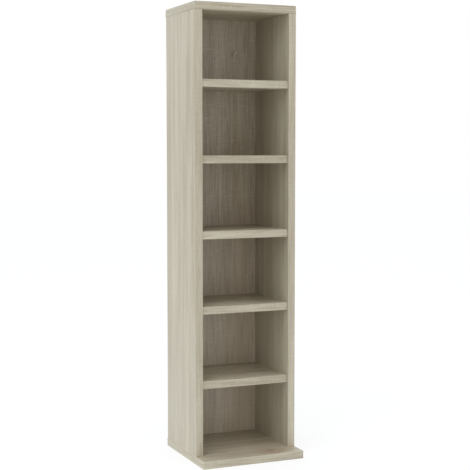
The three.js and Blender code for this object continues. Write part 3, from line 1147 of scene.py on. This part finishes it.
low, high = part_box("back_panel")
back_board = add_block("back_board", low, high)
for _, sign in ENDS:
    side_low, side_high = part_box("right_side_panel" if sign > 0 else "left_side_panel")
    x = (side_low.x + side_high.x) / 2
    for z in nail_heights:
        drill(
            back_board,
            Vector((x, low.y - CUT_OVERRUN, z)),
            Vector((x, high.y + CUT_OVERRUN, z)),
            NAIL_DIAMETER + 2 * HOLE_CLEARANCE,
            steps=NAIL_HOLE_STEPS,
        )
        drill(
            back_board,
            Vector((x, high.y - NAIL_POCKET, z)),
            Vector((x, high.y + CUT_OVERRUN, z)),
            NAIL_HEAD_DIAMETER + 2 * HOLE_CLEARANCE,
            steps=NAIL_HEAD_STEPS,
        )
ease_arrises(back_board, SAWN_ARRIS)
back_board.data.materials.append(bare_fibre)
back_board.data.materials.append(back_print)
# The print covers the front and its eased arrises.
pick(
    back_board,
    "polygons",
    lambda face: face.normal.y < -0.5 and face.center.y < low.y + 2 * SAWN_ARRIS,
)
back_board.active_material_index = 1
bpy.ops.object.material_slot_assign()
leave(back_board)
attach(back_board, "root")
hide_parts("back_panel")


# The nails of the back
# Plated wire nails with flat heads and pinched points, driven flush through the back board
# into the sides, four on each side.
NAIL_STEPS = 24
# Radii and heights, in mm.
NAIL_OUTLINE = (
    (0.1, -20),
    (0.8, -18),
    (0.8, -0.7),
    (1.1, -0.6),
    (1.75, -0.6),
    (1.8, -0.5),
    (1.8, -0.15),
    (1.5, 0),
)
nail = turn_piece("nail", NAIL_OUTLINE, NAIL_STEPS)
# Plated wire, drawn: the fine marks run along the nail.
nail.data.materials.append(plated_steel("zinc_plated_wire_drawn", (1, 0.1, 1)))
for word, _ in ENDS:
    for number in range(1, NAIL_COUNT + 1):
        node = f"back_nail_{word}_{number}"
        nail_low, nail_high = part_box(node)
        middle = (nail_low + nail_high) / 2
        place = (middle.x, nail_high.y, middle.z)
        piece = place_copy(nail, f"{node}_driven", place, (math.radians(-90), 0, 0))
        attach(piece, "root")
        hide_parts(node)
bpy.data.objects.remove(nail)


# The studio
# A white floor and plain soft light from all round, a little stronger from above and from the
# left. The camera stands in front on the left, where the photograph was taken.
FLOOR_COLOURS = ("#f5f5f4", "#f9f9f8")
FLOOR_GLOW = 1.05
FLOOR_GLOW_SHARE = 0.7
SURROUND_LIGHT = 0.95
# Daylight tubes, a touch cooler than pure white.
DAYLIGHT = (0.965, 1, 1.03)
CAMERA_PLACE = (-0.9006, -2.0989, 0.6032)
CAMERA_DIP = 4.22
CAMERA_TURN = -23.277
CAMERA_LENS = 88.84

bpy.context.scene.view_settings.view_transform = "Standard"


def seen_by_camera(tree):
    """1 for what the camera sees, also by way of a mirror or glass, and 0 for what only lights."""
    path = add_node(tree, "LightPath").outputs
    seen = add_node(
        tree, "Math", {0: path["Is Camera Ray"], 1: path["Is Glossy Ray"]}, operation="MAXIMUM"
    ).outputs[0]
    return add_node(
        tree, "Math", {0: seen, 1: path["Is Transmission Ray"]}, operation="MAXIMUM"
    ).outputs[0]


# Matt white floor paint, rolled: even, with faint marks 11 mm wide. It also glows a little for
# the camera, so that the ground is white where the tower's shadow doesn't fall.
floor_paint, tree, shader = new_material("floor_white_matt")
place = add_node(tree, "TexCoord").outputs["Object"]
texture = add_node(tree, "TexNoise", {"Vector": place, "Scale": 90, "Detail": 4}).outputs[0]
white = add_node(
    tree,
    "Mix",
    {0: texture, 6: srgb(FLOOR_COLOURS[0]), 7: srgb(FLOOR_COLOURS[1])},
    data_type="RGBA",
).outputs[2]
tree.links.new(white, shader.inputs["Base Color"])
shader.inputs["Roughness"].default_value = 0.9
shader.inputs["Specular IOR Level"].default_value = 0.1
glow = add_node(
    tree, "Emission", {"Color": (1, 1, 1, 1), "Strength": FLOOR_GLOW}
).outputs[0]
share = add_node(
    tree, "Math", {0: seen_by_camera(tree), 1: FLOOR_GLOW_SHARE}, operation="MULTIPLY"
).outputs[0]
blend = add_node(tree, "MixShader", {0: share, 1: shader.outputs[0], 2: glow}).outputs[0]
tree.links.new(blend, tree.nodes["Material Output"].inputs["Surface"])

bpy.ops.object.select_all(action="DESELECT")
bpy.ops.mesh.primitive_plane_add(size=24, location=(0, 0, 0))
floor = bpy.context.object
floor.name = "studio_floor"
floor.data.materials.append(floor_paint)

# The surround lights the tower evenly from all round, and the camera sees it as plain white.
world = bpy.data.worlds.new("studio_light")
bpy.context.scene.world = world
world.use_nodes = True
tree = world.node_tree
surround = tree.nodes["Background"]
surround.inputs["Color"].default_value = (*DAYLIGHT, 1)
surround.inputs["Strength"].default_value = SURROUND_LIGHT
backdrop = add_node(tree, "Background", {"Color": (1, 1, 1, 1), "Strength": 1}).outputs[0]
blend = add_node(
    tree, "MixShader", {0: seen_by_camera(tree), 1: surround.outputs[0], 2: backdrop}
).outputs[0]
tree.links.new(blend, tree.nodes["World Output"].inputs["Surface"])

for name, place, aim, size, power in (
    ("softbox_above_left", (-1.6, -1.2, 2.6), (0, 0, 0.4), 1.8, 18.5),
    ("softbox_low_left", (-0.9, 0, 0.1), (0, 0, 0.1), 0.4, 0.75),
    ("softbox_low_front", (0, -1.1, 0.1), (0, 0, 0.1), 0.4, 0.45),
):
    bpy.ops.object.light_add(type="AREA", location=place)
    lamp = bpy.context.object
    lamp.name = name
    lamp.data.shape = "SQUARE"
    lamp.data.size = size
    lamp.data.energy = power
    lamp.data.color = DAYLIGHT
    lamp.rotation_euler = (Vector(place) - Vector(aim)).to_track_quat("Z", "Y").to_euler()

bpy.ops.object.camera_add(
    location=CAMERA_PLACE,
    rotation=(math.radians(90 - CAMERA_DIP), 0, math.radians(CAMERA_TURN)),
)
camera = bpy.context.object
camera.name = "camera"
camera.data.lens = CAMERA_LENS
camera.data.sensor_width = 36
camera.data.clip_end = 60
bpy.context.scene.camera = camera
